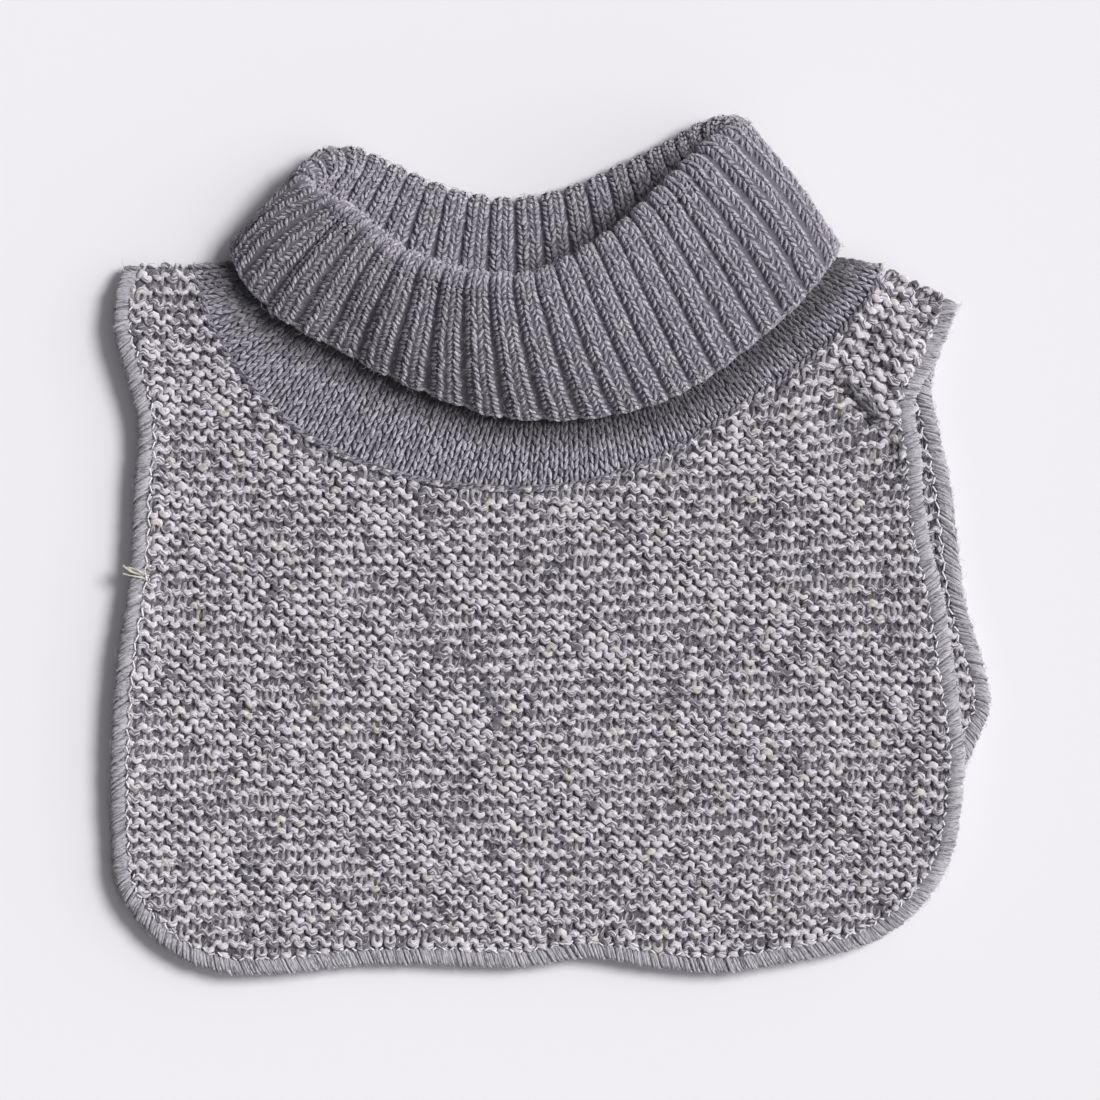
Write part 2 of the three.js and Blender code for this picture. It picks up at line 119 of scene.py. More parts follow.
# The outer edge of the hem, all round the front and back again underneath: turn x y z
HEM_EDGE = [
    [0.0, -152.8, 101.6, 4.8], [0.012, -156, 93, 8.2], [0.025, -156.4, 77, 8.4],
    [0.036, -151.7, 60.5, 8], [0.047, -148.1, 42.5, 7.4], [0.056, -149.6, 22, 7],
    [0.068, -151, -9, 7.4], [0.08, -155.5, -40, 8], [0.094, -157.9, -75, 7.6],
    [0.107, -157.5, -102.2, 6.8], [0.12, -154.3, -124.2, 6.6], [0.132, -138.4, -142.9, 6.6],
    [0.144, -117.5, -151.9, 7], [0.156, -97, -151.9, 7.6], [0.172, -72.9, -149.4, 6.6],
    [0.192, -48.8, -148.7, 6.4], [0.225, -7.4, -149.4, 6.4], [0.24, 14.2, -146.5, 7.2],
    [0.255, 35.8, -149.8, 6.8], [0.272, 61.7, -151.7, 7], [0.288, 82.6, -148.7, 7.4],
    [0.304, 109.3, -143.3, 6.6], [0.32, 126.9, -133.9, 6.4], [0.334, 137.3, -123.1, 6.4],
    [0.347, 144.9, -108, 6.6], [0.36, 147.8, -88.9, 6.8], [0.373, 148.9, -73.8, 6.4],
    [0.386, 146.3, -51.8, 5.4], [0.402, 142, -21.6, 5.2], [0.418, 136.6, 1.8, 5.2],
    [0.434, 133.7, 20, 5.6], [0.448, 133.4, 34, 6.2], [0.46, 131.2, 45, 6.6],
    [0.47, 130.9, 54, 7], [0.48, 135.6, 63.5, 8], [0.49, 141.2, 74.5, 8.6],
    [0.5, 146.5, 88, 5.2], [0.51, 144, 82, 2.4], [0.52, 139.5, 70, 2.1],
    [0.53, 137, 58, 2], [0.54, 139.8, 43, 2], [0.552, 144.2, 21, 2],
    [0.565, 148.5, -15, 2], [0.578, 155, -39.2, 2], [0.59, 158.1, -56, 2],
    [0.6, 153.5, -68.8, 2], [0.61, 146.5, -84, 2], [0.625, 143, -104, 2],
    [0.64, 135, -121, 2], [0.66, 112, -137, 2], [0.69, 66, -147, 2],
    [0.72, 18, -143.5, 2], [0.75, -20, -146, 2], [0.785, -70, -146.5, 2],
    [0.81, -104, -149.3, 2], [0.835, -136, -141.5, 2], [0.855, -154.5, -125, 2],
    [0.875, -158.3, -100, 2], [0.9, -155.5, -58, 2], [0.925, -149.5, -8, 2],
    [0.945, -147, 32, 2], [0.96, -149.5, 56, 2], [0.975, -154, 78, 2.1],
    [0.988, -155, 93, 2.4],
]

# Folds of the front cloth: x y direction(degrees) half-length half-width height
BIB_FOLDS = [
    [111, 54, -48, 14, 3.6, -1.6], [105, 48.6, -48, 13, 4.5, 1.5],
    [126, 74, -48, 17, 9, 4], [98, 42, -48, 14, 8, 1],
    [-141, 80, 75, 24, 12, 1.5], [-85, -30, 20, 70, 22, 0.8],
    [60, -80, -12, 80, 26, 0.8], [85, 20, -40, 34, 12, 0.9],
]

# Dents of the turned-down layer: turn share wide-in-turn wide-in-share depth
COLLAR_DENTS = [
    [0.1, 0.84, 0.02, 0.12, 2.4], [0.045, 0.75, 0.012, 0.2, 1.6],
    [0.16, 0.7, 0.015, 0.14, 0.8], [0.41, 0.8, 0.02, 0.16, 0.8],
]

# Stitches
BIB_WALE = 4.6  # width of a purl stitch
BIB_COURSE = 4.82  # height of a row of them
YOKE_WALES = 152
YOKE_COURSE = 3.3
RIBS = 44
COLLAR_COURSE = 2.05
RIB_HIGH = 1.9
RIB_WIDE = 8.0  # width of a rib where the ribs are RIB_PITCH apart
RIB_PITCH = 8.9
RIB_SPREAD = 0.72  # how much wider for each millimetre of pitch
FRONT_ENDS = (0.97, 0.53)  # turns between which the yoke has stitches


def unit(v):
    return v / np.maximum(np.linalg.norm(v, axis=-1, keepdims=True), 1e-9)


def dot(a, b):
    return np.sum(a * b, axis=-1, keepdims=True)


def mix(a, b, share):
    return a + (b - a) * share


def smooth(x):
    x = np.clip(x, 0, 1)
    return x * x * (3 - 2 * x)


def shaken(*shape):
    return dice.normal(0, 1, shape)


def vary(amount, *shape):
    """Random factors about 1."""
    return 1 + amount * shaken(*shape)


def every_pair(*lists):
    """Every combination of the values in some lists, as flat arrays."""
    return [grid.ravel() for grid in np.meshgrid(*lists, indexing="ij")]


def turned(x, y, angle, pivot=(0, 0)):
    """Places of the plane turned by an angle and then moved to a pivot."""
    c, s = math.cos(angle), math.sin(angle)
    return pivot[0] + x * c - y * s, pivot[1] + x * s + y * c


def run_along(lines):
    """The length along each line, from its start to each of its places."""
    steps = np.linalg.norm(np.diff(lines, axis=-2), axis=-1)
    return np.insert(np.cumsum(steps, axis=-1), 0, 0, axis=-1)


def rail(rows):
    """The closed curve through the rows of a table, as a function of the turn."""
    rows = np.array(rows, float)
    lap = np.array([1.0, 0, 0, 0])
    rows = np.concatenate([rows[-2:] - lap, rows, rows[:2] + lap])
    turns, places = rows[:, :1], rows[:, 1:]

    def tangent(before, here, after):
        share = (here[0] - before[0]) / (after[0] - before[0])
        arriving = (here[1] - before[1]) / (here[0] - before[0])
        leaving = (after[1] - here[1]) / (after[0] - here[0])
        return mix(arriving, leaving, share)

    def at(turn):
        within = turn - np.floor(turn)
        index = np.searchsorted(turns[:, 0], within, side="right") - 1
        a, b, c, d = ((turns[index + k], places[index + k]) for k in (-1, 0, 1, 2))
        span = c[0] - b[0]
        f = (within[:, None] - b[0]) / span
        start = tangent(a, b, c) * (span * f * (1 - f) ** 2)
        end = tangent(b, c, d) * (-span * f * f * (1 - f))
        return mix(b[1], c[1], f * f * (3 - 2 * f)) + start + end

    return at


rim, flap_edge, neck, seam, hem_edge = map(rail, (RIM, FLAP_EDGE, NECK, SEAM, HEM_EDGE))


def front_share(turn):
    """1 on the front, 0 on the back, changing smoothly round the shoulder folds."""
    t = turn - np.floor(turn)
    left, right, left_again = (smooth((t - at + FOLD_HALF) / (2 * FOLD_HALF)) for at in (0, 0.5, 1))
    return (left - right + left_again)[:, None]


def to_fold(turn):
    return np.abs(turn - np.round(turn * 2) / 2)[:, None]


def pressed(turn):
    return 1 - FOLD_THINNING * np.exp(-((to_fold(turn) / FOLD_REACH) ** 2))


def set_back(arriving, leaving, thick):
    """How far a strip stops short of a joint, where it meets another at an angle."""
    bend = np.arccos(np.clip(dot(unit(arriving), unit(leaving)), -1, 1))
    return JOINT_GAP / 2 + (thick / 2) * np.tan(bend / 2)


def towards(start, end, length):
    return start + unit(end - start) * length


def collar_frame(turn):
    top, edge, foot = rim(turn), flap_edge(turn), neck(turn)
    up = unit(top - (foot + edge) / 2)
    out = edge - foot
    out = unit(out - up * dot(out, up))
    radius = (COLLAR_THICK + TURN_DOWN_GAP) / 2
    return top - up * radius, up, out, radius, foot, edge


def dent_of_collar(turn, share):
    depth_and_painted_shade = np.zeros_like(turn)
    for at_turn, at_share, wide_turn, wide_share, depth in COLLAR_DENTS:
        off = ((turn - at_turn) / wide_turn) ** 2 + ((share - at_share) / wide_share) ** 2
        depth_and_painted_shade += depth * np.exp(-off)
    return depth_and_painted_shade[:, None]


def collar_cloth(turn, share):
    """The middle of the collar: up the standing layer, over the crest and down the outer one."""
    middle, up, out, radius, foot, edge = collar_frame(turn)
    front = front_share(turn)
    stand_top = middle - out * radius
    flap_top = middle + out * radius
    s = share[:, None]

    along = np.clip(s / STAND_END, 0, 1)
    start = towards(foot, stand_top, set_back(foot - seam(turn), stand_top - foot, COLLAR_THICK))
    stand = mix(start, stand_top, along) + out * (front * STAND_BULGE * np.sin(np.pi * along))

    angle = np.pi * (s - STAND_END) / (FLAP_START - STAND_END)
    crest = middle - out * (radius * np.cos(angle)) + up * (radius * np.sin(angle))

    along = np.clip((s - FLAP_START) / (1 - FLAP_START), 0, 1)
    swell = front * (FLAP_BULGE * np.sin(np.pi * along) - dent_of_collar(turn, share))
    flap = mix(flap_top, edge, along) + out * swell
    return np.where(s < STAND_END, stand, np.where(s < FLAP_START, crest, flap))


def yoke_cloth(turn, share):
    """The middle of the yoke, from the collar (share 0) to the seam with the bib (share 1)."""
    foot, low, s = neck(turn), seam(turn), share[:, None]
    yoke_way = low - foot
    stand_way = foot - collar_cloth(turn, np.full_like(turn, STAND_END / 2))
    start = towards(foot, low, set_back(stand_way, yoke_way, YOKE_THICK))
    end = towards(low, foot, set_back(yoke_way, hem_edge(turn) - low, YOKE_THICK))
    place = mix(start, end, s)
    hold = YOKE_HELD * smooth(to_fold(turn) / HOLD_REACH)
    held = mix(start[:, 2:], end[:, 2:], smooth((s - hold) / (1 - hold)))
    place[:, 2:] = mix(held, place[:, 2:], front_share(turn))
    return place


def hem_frame(turn):
    """The middle of the hem, the way in to the cloth, the way up and the way along."""
    along = unit(hem_edge(turn + STEP) - hem_edge(turn - STEP))
    edge = hem_edge(turn)
    inwards = seam(turn) - edge
    inwards = unit(inwards - along * dot(inwards, along))
    over = unit(np.cross(inwards, along))
    return edge + inwards * (HEM_WIDE / 2), inwards, over, along


def fold_height(x, y):
    height = np.zeros_like(x)
    for at_x, at_y, degrees, half_long, half_wide, high in BIB_FOLDS:
        along, across = turned(x - at_x, y - at_y, -math.radians(degrees))
        height += high * np.exp(-((along / half_long) ** 2) - (across / half_wide) ** 2)
    return height


# The crease where the right shoulder's knitting lies over the front's
CREASE = (111, 54)
CREASE_WAY = math.radians(-48)
CREASE_HALF = 15.0  # half the length of the raised edge beside it
LOBE_HIGH = 5.4
LOBE_START = 1.5  # how far before the crease the edge starts to rise
LOBE_RISE = 5.0  # the distance in which it rises
LOBE_WIDE = 15.0
# strength of the painted shade in the crease
CREASE_PAINTED_SHADE = 2.0
CREASE_PAINTED_SHADE_HALF = (12.0, 2.3)  # half the length and half the width of its painted shade
CREASE_PAINTED_SHADE_OFF = 0.3
CREASE_STRAND = 10.0  # half the length of the strands pressed into it
CREASE_STRANDS = (-2.2, 2.8)  # from where to where, across it


def from_crease(x, y):
    return turned(x - CREASE[0], y - CREASE[1], -CREASE_WAY)


def lobe_height(x, y):
    """The shoulder's knitting rises to a round edge over the crease."""
    along, across = from_crease(x, y)
    near = np.exp(-((along / CREASE_HALF) ** 4))
    rise = smooth((across + LOBE_START) / LOBE_RISE)
    return LOBE_HIGH * near * rise * np.exp(-np.maximum(across, 0) / LOBE_WIDE)


def crease_painted_shade(x, y):
    """How much painted shade a place gets in the crease."""
    along, across = from_crease(x, y)
    long, wide = CREASE_PAINTED_SHADE_HALF
    return CREASE_PAINTED_SHADE * np.exp(-((along / long) ** 4) - ((across + CREASE_PAINTED_SHADE_OFF) / wide) ** 2)


def bib_cloth(turn, share):
    """The middle of the bib, from the seam with the yoke (share 0) to the hem (share 1)."""
    s = share[:, None]
    top = seam(turn)
    middle, inwards, _, _ = hem_frame(turn)
    end = middle + inwards * (HEM_WIDE / 2 + HEM_GAP)
    start = towards(top, end, set_back(top - neck(turn), end - top, BIB_THICK))
    place = mix(start, end, s)
    front = front_share(turn)
    lift = FOLD_LIFT * (1 - pressed(turn)) / FOLD_THINNING
    rest = mix(BIB_THICK / 2, FRONT_REST + lift, front)
    from_seam = (start[:, 2:] - rest) * (1 - smooth(s / SEAM_REACH))
    from_hem = (end[:, 2:] - rest) * smooth((s - 1 + HEM_REACH) / HEM_REACH)
    between = np.clip(2 * np.sin(np.pi * np.clip(s, 0, 1)), 0, 1)
    x, y, _ = place.T
    folds = (fold_height(x, y) + lobe_height(x, y))[:, None]
    place[:, 2:] = rest + from_seam + from_hem + front * folds * between
    return place


def normals(cloth, turn, share):
    across = cloth(turn, np.minimum(1, share + STEP)) - cloth(turn, np.maximum(0, share - STEP))
    along = cloth(turn + TURN_STEP, share) - cloth(turn - TURN_STEP, share)
    return unit(np.cross(across, along))


# Meshes
def link(name, data):
    thing = bpy.data.objects.new(name, data)
    bpy.context.scene.collection.objects.link(thing)
    return thing


def make_mesh(name, places, faces, material, **attributes):
    """A smooth mesh from places in millimetres and faces with the same number of corners each.
    attributes hold a number or a vector for each place."""
    settled = places + CENTRING
    settled[:, 2] = np.maximum(settled[:, 2], RESTING)
    mesh = bpy.data.meshes.new(name)
    mesh.vertices.add(len(places))
    mesh.vertices.foreach_set("co", (settled * MM).astype(np.float32).ravel())
    mesh.loops.add(faces.size)
    mesh.loops.foreach_set("vertex_index", faces.astype(np.int32).ravel())
    mesh.polygons.add(len(faces))
    mesh.polygons.foreach_set("loop_start", np.arange(0, faces.size, faces.shape[1], dtype=np.int32))
    mesh.update(calc_edges=True)
    mesh.polygons.foreach_set("use_smooth", np.ones(len(faces), bool))
    for key, value in attributes.items():
        kind, field = ("FLOAT", "value") if value.ndim == 1 else ("FLOAT_VECTOR", "vector")
        layer = mesh.attributes.new(key, kind, "POINT")
        layer.data.foreach_set(field, value.astype(np.float32).ravel())
    mesh.materials.append(material)
    mesh.validate()
    return link(name, mesh)


def grid_faces(rows, columns):
    """Faces of a grid that closes on itself both ways."""
    a = np.arange(rows * columns).reshape(rows, columns)
    b = np.roll(a, -1, axis=1)
    return np.stack([a, b, np.roll(b, -1, axis=0), np.roll(a, -1, axis=0)], -1).reshape(-1, 4)


def cloth_ring(name, cloth, thick, turns, shares, material, relief=None):
    """A closed ring of cloth with two skins, the outer one raised by relief. The attribute weave
    holds the turn, the share and 1 on the skin that carries the stitches."""
    t, s = every_pair(turns, shares)
    middle = cloth(t, s)
    normal = normals(cloth, t, s)
    half = normal * (thick / 2) * pressed(t)
    raised = half if relief is None else half + normal * relief(t, s)[:, None]

    def round_the_ring(upper, lower):
        shape = (len(turns), len(shares), 3)
        return np.concatenate([upper.reshape(shape), lower.reshape(shape)[:, ::-1]], axis=1).reshape(-1, 3)

    places = round_the_ring(middle + raised, middle - half)
    weave = round_the_ring(*(np.stack([t, s, np.full_like(t, side)], -1) for side in (1, 0)))
    return make_mesh(name, places, grid_faces(len(turns), len(shares) * 2), material, weave=weave)


ALONG_MOST = 900  # of yarn, on which a strand starts


def tubes(lines, radii, ups, sides, starts=None):
    """Strands as tubes along lines, with ups the way that is sideways to each. Gives places, faces
    and the yarn attribute: length along the strand, and cosine and sine of the place round it."""
    strands, points, _ = lines.shape
    radii = np.broadcast_to(radii, (strands, points))
    along = unit(np.gradient(lines, axis=1))
    side = unit(np.cross(along, ups))
    over = np.cross(side, along)
    angles = np.arange(sides) * TAU / sides
    cosine, sine = np.cos(angles), np.sin(angles)
    ring = side[:, :, None] * cosine[:, None] + over[:, :, None] * sine[:, None]
    places = lines[:, :, None] + radii[:, :, None, None] * ring
    number = np.arange(strands * points * sides).reshape(strands, points, sides)
    a, b = number[:, :-1], np.roll(number, -1, axis=2)[:, :-1]
    faces = np.stack([a, a + sides, b + sides, b], -1).reshape(-1, 4)
    if starts is None:
        starts = dice.uniform(0, ALONG_MOST, strands)
    run = run_along(lines) + starts[:, None]
    yarn = np.stack(np.broadcast_arrays(run[:, :, None], cosine, sine), -1)
    return places.reshape(-1, 3), faces, yarn.reshape(-1, 3)


def joined(parts):
    """Several (places, faces, yarn) as one."""
    places, faces, yarn = zip(*parts)
    starts = np.cumsum([0] + [len(p) for p in places[:-1]])
    moved = [f + start for f, start in zip(faces, starts)]
    return np.concatenate(places), np.concatenate(moved), np.concatenate(yarn)


def strand_piece(name, strands, material, depth_and_painted_shade=None):
    """A piece made of (places, faces, yarn). The last argument is the painted shade of each place, or one
    value for all of them.
    """
    places, faces, yarn = strands
    darkened = {} if depth_and_painted_shade is None else {"depth_and_painted_shade": np.broadcast_to(depth_and_painted_shade, len(places))}
    return make_mesh(name, places, faces, material, yarn=yarn, **darkened)


def inside(points, outline):
    """Whether each point lies inside a closed outline, both in the plane."""
    x, y = points.T[:, :, None]
    x1, y1 = outline.T[:, None]
    x2, y2 = np.roll(outline, -1, axis=0).T[:, None]
    crosses = (y1 > y) != (y2 > y)
    slope = (x2 - x1) / np.where(y2 == y1, 1e-9, y2 - y1)
    return np.sum(crosses & (x < x1 + slope * (y - y1)), axis=1) % 2 == 1


# Materials
def srgb(*colour):
    """A screen colour from 0 to 255, not nearly black, in linear light."""
    return (*(((c / 255 + 0.055) / 1.055) ** 2.4 for c in colour), 1.0)


class Nodes:
    """Short ways to add shader nodes to a new material or world."""

    def __init__(self, owner):
        owner.use_nodes = True
        self.owner = owner
        self.tree = owner.node_tree
        self.tree.nodes.clear()

    def add(self, kind, inputs=None, **settings):
        node = self.tree.nodes.new(kind)
        for key, value in settings.items():
            setattr(node, key, value)
        for key, value in (inputs or {}).items():
            if isinstance(value, bpy.types.NodeSocket):
                self.tree.links.new(value, node.inputs[key])
            else:
                node.inputs[key].default_value = value
        return node

    def math(self, operation, a, b=0.0):
        return self.add("ShaderNodeMath", {0: a, 1: b}, operation=operation).outputs[0]

    def plus(self, a, b):
        return self.math("ADD", a, b)

    def times(self, a, b):
        return self.math("MULTIPLY", a, b)

    def ramp(self, value, low, high, to_low=0.0, to_high=1.0):
        inputs = {"Value": value, "From Min": low, "From Max": high, "To Min": to_low, "To Max": to_high}
        return self.add("ShaderNodeMapRange", inputs, interpolation_type="SMOOTHSTEP").outputs[0]

    def noise(self, vector, scale, detail=2.0, roughness=0.5):
        inputs = {"Vector": vector, "Scale": scale, "Detail": detail, "Roughness": roughness}
        return self.add("ShaderNodeTexNoise", inputs).outputs[0]

    def noise_along(self, value, scale, detail=1.0):
        inputs = {"W": value, "Scale": scale, "Detail": detail}
        return self.add("ShaderNodeTexNoise", inputs, noise_dimensions="1D").outputs[0]

    def blend(self, share, a, b):
        return self.add("ShaderNodeMix", {0: share, 6: a, 7: b}, data_type="RGBA").outputs[2]

    def place(self):
        return self.add("ShaderNodeTexCoord").outputs["Object"]

    def attribute(self, name):
        """The three parts of a vector attribute."""
        read = self.add("ShaderNodeAttribute", attribute_name=name).outputs["Vector"]
        return self.add("ShaderNodeSeparateXYZ", {0: read}).outputs[:]

    def bump(self, height, distance, strength, **after):
        inputs = {"Height": height, "Distance": distance, "Strength": strength, **after}
        return self.add("ShaderNodeBump", inputs).outputs[0]

    def finish(self, shader):
        self.add("ShaderNodeOutputMaterial", {0: shader.outputs[0]})
        return self.owner

    def woollen(self, colour, normal):
        """Ends the material as rough, slightly fuzzy wool."""
        return self.finish(self.add("ShaderNodeBsdfPrincipled", {
            "Base Color": colour, "Normal": normal, "Roughness": 0.92, "Diffuse Roughness": 0.9,
            "Sheen Weight": 0.25, "Sheen Roughness": 0.5, "Specular IOR Level": 0.2,
        }))


SHORT_RUNS = 0.03  # waves of noise in a millimetre of yarn
LONG_RUNS = 0.009
FLECK_RUNS = 0.028


def wool(name, light, dark, fleck, marl=0.08, fleck_from=0.74, ply_pitch=6.0, streaks=1.0, heather=0.3,
         dark_from=0.5, swing=0.1):
    """Twisted yarn with streaks. marl is how much of it shows dark strands, fleck_from and dark_from
    the noise above which it is fleck or dark, swing how much a run shifts that, ply_pitch the
    length of a full twist, streaks how fine they are and heather how much fibres vary."""
    n = Nodes(bpy.data.materials.new(name))
    along, cosine, sine = n.attribute("yarn")
    phase = n.times(along, TAU / ply_pitch)
    turn_sine, turn_cosine = n.math("SINE", phase), n.math("COSINE", phase)
    twist = n.plus(n.times(turn_sine, cosine), n.times(turn_cosine, sine))
    beside = n.math("SUBTRACT", n.times(turn_cosine, cosine), n.times(turn_sine, sine))

    def in_yarn(lengthwise, around):
        """The place in the yarn, stretched so that noise gives streaks."""
        inputs = {0: n.times(along, lengthwise), 1: n.times(twist, around), 2: n.times(beside, around)}
        return n.add("ShaderNodeCombineXYZ", inputs).outputs[0]

    short_runs = n.noise_along(along, SHORT_RUNS)
    long_runs = n.noise_along(n.plus(along, 97.3), LONG_RUNS, 0.0)
    runs = n.plus(n.times(short_runs, 0.74), n.times(long_runs, 0.26))
    amount = n.ramp(runs, 0.53 - marl, 0.66 - marl)
    strands = n.plus(n.noise(in_yarn(0.2, streaks), 1.0, 1.0), n.times(amount, swing))
    colour = n.blend(n.ramp(strands, dark_from, dark_from + 0.09), srgb(*light), srgb(*dark))
    flecks = n.ramp(n.noise_along(n.plus(along, 431.0), FLECK_RUNS), fleck_from, fleck_from + 0.06)
    colour = n.blend(n.times(flecks, 0.55), colour, srgb(*fleck))
    fibres = n.noise(in_yarn(0.5, streaks * 2.1), 1.0, 2.0, 0.7)
    shade = n.ramp(fibres, 0.34, 0.66, 1 - heather, 1 + heather)
    # Painted shade: the yarn is darkened where the attribute that carries painted shade is high, that is
    # where loop legs lie low, in the shoulder's crease and under the collar's free edge. shade also holds
    # the heather's own random tone.
    depth_and_painted_shade = n.add("ShaderNodeAttribute", attribute_name="depth_and_painted_shade").outputs["Fac"]
    for low, high, left in ((0.15, 0.95, 0.68), (0.9, 2.2, 0.3)):
        shade = n.times(shade, n.ramp(depth_and_painted_shade, low, high, 1.0, left))
    tinted = n.add("ShaderNodeVectorMath", {0: colour, "Scale": shade}, operation="SCALE").outputs[0]
    normal = n.bump(n.noise(n.place(), 3000.0, 3.0, 0.7), 0.0004, 0.5)
    return n.woollen(tinted, n.bump(fibres, 0.0003, 0.6, Normal=normal))


def cloth_under(name, light, dark, columns, rows, painted_shade_share):
    """Cloth with painted shade: where stitches cover it, it is darkened towards the dark colour by the given
    share, and it is knitted in relief where they don't, with that many columns in a turn and rows across."""
    n = Nodes(bpy.data.materials.new(name))
    turn, share, covered = n.attribute("weave")
    wave = n.times(n.math("COSINE", n.times(turn, TAU * columns)), 1.3)
    height = n.math("COSINE", n.plus(n.times(share, TAU * rows), wave))
    bare = n.ramp(covered, 0.2, 0.6, 1.0, 0.0)
    pattern = n.times(height, bare)
    fibres = n.noise(n.place(), 800.0, 4.0, 0.75)
    tone = n.plus(n.times(fibres, 0.7), n.times(pattern, 0.18))
    colour = n.blend(n.ramp(tone, 0.15, 0.6), srgb(*dark), srgb(*light))
    # Painted shade: where stitches cover the cloth it is darkened towards the dark colour.
    colour = n.blend(bare, n.blend(painted_shade_share, colour, srgb(*dark)), colour)
    return n.woollen(colour, n.bump(fibres, 0.0004, 0.6, Normal=n.bump(pattern, 0.0008, 0.8)))


BIB_LIGHT = (220, 215, 221)
BIB_DARK = (121, 117, 126)
CREAM = (217, 213, 205)
THREAD = {"dark_from": 0.58, "swing": 0.15}
bib_yarn = wool("marled_yarn", BIB_LIGHT, BIB_DARK, CREAM, marl=0.05, fleck_from=0.7, ply_pitch=14.0,
                streaks=1.5, heather=0.2, dark_from=0.55, swing=0.14)
yoke_yarn = wool("plain_yarn", (194, 189, 198), (138, 134, 144), (202, 201, 205))
rib_yarn = wool("rib_yarn", (193, 188, 197), (147, 143, 153), (206, 205, 209), marl=0.06)
seam_yarn = wool("seam_yarn", (166, 162, 171), (104, 100, 110), (182, 181, 186))
hem_yarn = wool("hem_thread", (192, 189, 195), (140, 137, 145), (225, 225, 225), marl=0.04,
                fleck_from=0.72, ply_pitch=8.0, streaks=0.9, heather=0.2, **THREAD)
white_yarn = wool("white_thread", (244, 243, 246), (200, 198, 203), (240, 240, 240), marl=0.0,
                  fleck_from=0.8, ply_pitch=3.0, streaks=0.8, heather=0.05, **THREAD)
cream_yarn = wool("cream_strand", (228, 225, 216), (182, 178, 168), CREAM, marl=0.0,
                  fleck_from=0.8, ply_pitch=5.0, streaks=0.8, heather=0.15, **THREAD)
# The last number of each is its painted shade where stitches cover it; the dark colour is both the cloth's
# own darker tone and that painted shade.
bib_under = cloth_under("bib_cloth", (168, 164, 172), (88, 85, 93), 180, 28, 0.4)
yoke_under = cloth_under("yoke_cloth", (142, 139, 147), (86, 83, 91), YOKE_WALES, 9, 0.6)
rib_under = cloth_under("rib_cloth", (162, 158, 166), (106, 103, 111), RIBS * 2, 30, 0.45)
hem_under = cloth_under("hem_core", (166, 164, 170), (130, 128, 134), 900, 2, 0.75)

# Base cloth
BIB_CORE = 1.6
YOKE_CORE = 1.8
COLLAR_CORE = 2.6
HEM_CORE = (2.5, 2.3)  # half its width and half its height
HEM_RINGS = 900
HEM_SIDES = 10
RIB_SAMPLES = (0, 0.07, 0.13, 0.2, 0.3, 0.42, 0.58, 0.7, 0.8, 0.87, 0.93)
RIB_REACH = 0.006


def spread_turns(count, crowd=0.6):
    """Turns that lie closer together at the shoulder folds."""
    even = np.arange(count) / count
    return even - crowd / (2 * TAU) * np.sin(2 * TAU * even)


def rib_part(turn, share):
    """The part of the distance between ribs that a rib takes up."""
    across = collar_cloth(turn + RIB_REACH, share) - collar_cloth(turn - RIB_REACH, share)
    pitch = np.linalg.norm(across, axis=-1) / (2 * RIB_REACH * RIBS)
    return np.clip((RIB_WIDE + RIB_SPREAD * (pitch - RIB_PITCH)) / pitch, 0.6, 0.94)


def rib_relief(turn, share):
    """Height of the round ribs above the collar's skin, with narrow grooves between them."""
    phase = (turn * RIBS) % 1.0
    from_middle = np.abs(phase - 0.5) * 2 / rib_part(turn, share)
    round_rib = np.clip(1 - from_middle**2.6, 0, 1) ** 0.7
    ends = 0.55 + 0.45 * smooth((1.0 - share) / 0.025)
    return RIB_HIGH * round_rib * ends * pressed(turn)[:, 0]


bib_turns = np.sort(np.concatenate([spread_turns(220), np.linspace(0.425, 0.495, 40)]))
bib = cloth_ring("bib_cloth", bib_cloth, BIB_CORE, bib_turns, np.linspace(0, 1, 25), bib_under)
yoke = cloth_ring("yoke_cloth", yoke_cloth, YOKE_CORE, spread_turns(320), np.linspace(0, 1, 12), yoke_under)
collar_turns = (np.arange(RIBS)[:, None] + np.array(RIB_SAMPLES)).ravel() / RIBS
collar_shares = np.concatenate([
    np.linspace(0, STAND_END, 11)[:-1],
    np.linspace(STAND_END, FLAP_START, 8)[:-1],
    np.linspace(FLAP_START, 1, 14),
])
collar = cloth_ring("collar_cloth", collar_cloth, COLLAR_CORE, collar_turns, collar_shares,
                    rib_under, rib_relief)


def hem_core():
    turns = spread_turns(HEM_RINGS, 0.3)
    middle, inwards, over, _ = (part[:, None] for part in hem_frame(turns))
    angles = (np.arange(HEM_SIDES) * TAU / HEM_SIDES)[None, :, None]
    high = HEM_CORE[1] * pressed(turns)[:, :, None]
    ring = middle - inwards * (HEM_CORE[0] * np.cos(angles)) + over * high * np.sin(angles)
    weave = np.stack(np.broadcast_arrays(turns[:, None], angles[:, :, 0] / TAU, 0.0), -1)
    faces = grid_faces(HEM_RINGS, HEM_SIDES)
    return make_mesh("hem_core", ring.reshape(-1, 3), faces, hem_under, weave=weave)


hem = hem_core()

# Purl stitches of the bib
LOOP_ANGLES = np.radians([-90, -57, -29, 0, 29, 57, 90, 123, 151, 180, 209, 237, 270])
LOOP_SWELL = 0.72  # how far a loop's head is wider than its neck
LOOP_SIDES = 6
LOOP_HIGH = 3.36
LOOP_DEEP = 1.0  # how far a loop's legs lie lower than its head
LOOP_LIFT = 0.45
LOOP_RADIUS = 0.84
LOOP_FATTER = 0.42  # how much fatter it is at its head and its foot
LOOP_VARIES = (0.09, 0.28, 0.38, 0.16)  # its height as a share, then its x, its y and its lift
LOOP_RADIUS_VARIES = 0.1
ROW_STARTS = 9000  # of yarn, on which a row starts
ROW_RISE = 17
LOOPS_END = 2.6  # how far in from the middle of the hem the loops end
COVER_END = -0.5  # and what the front hides of the back
SHOULDER_FULLER = 1.16  # how much fatter the loops of the right shoulder are
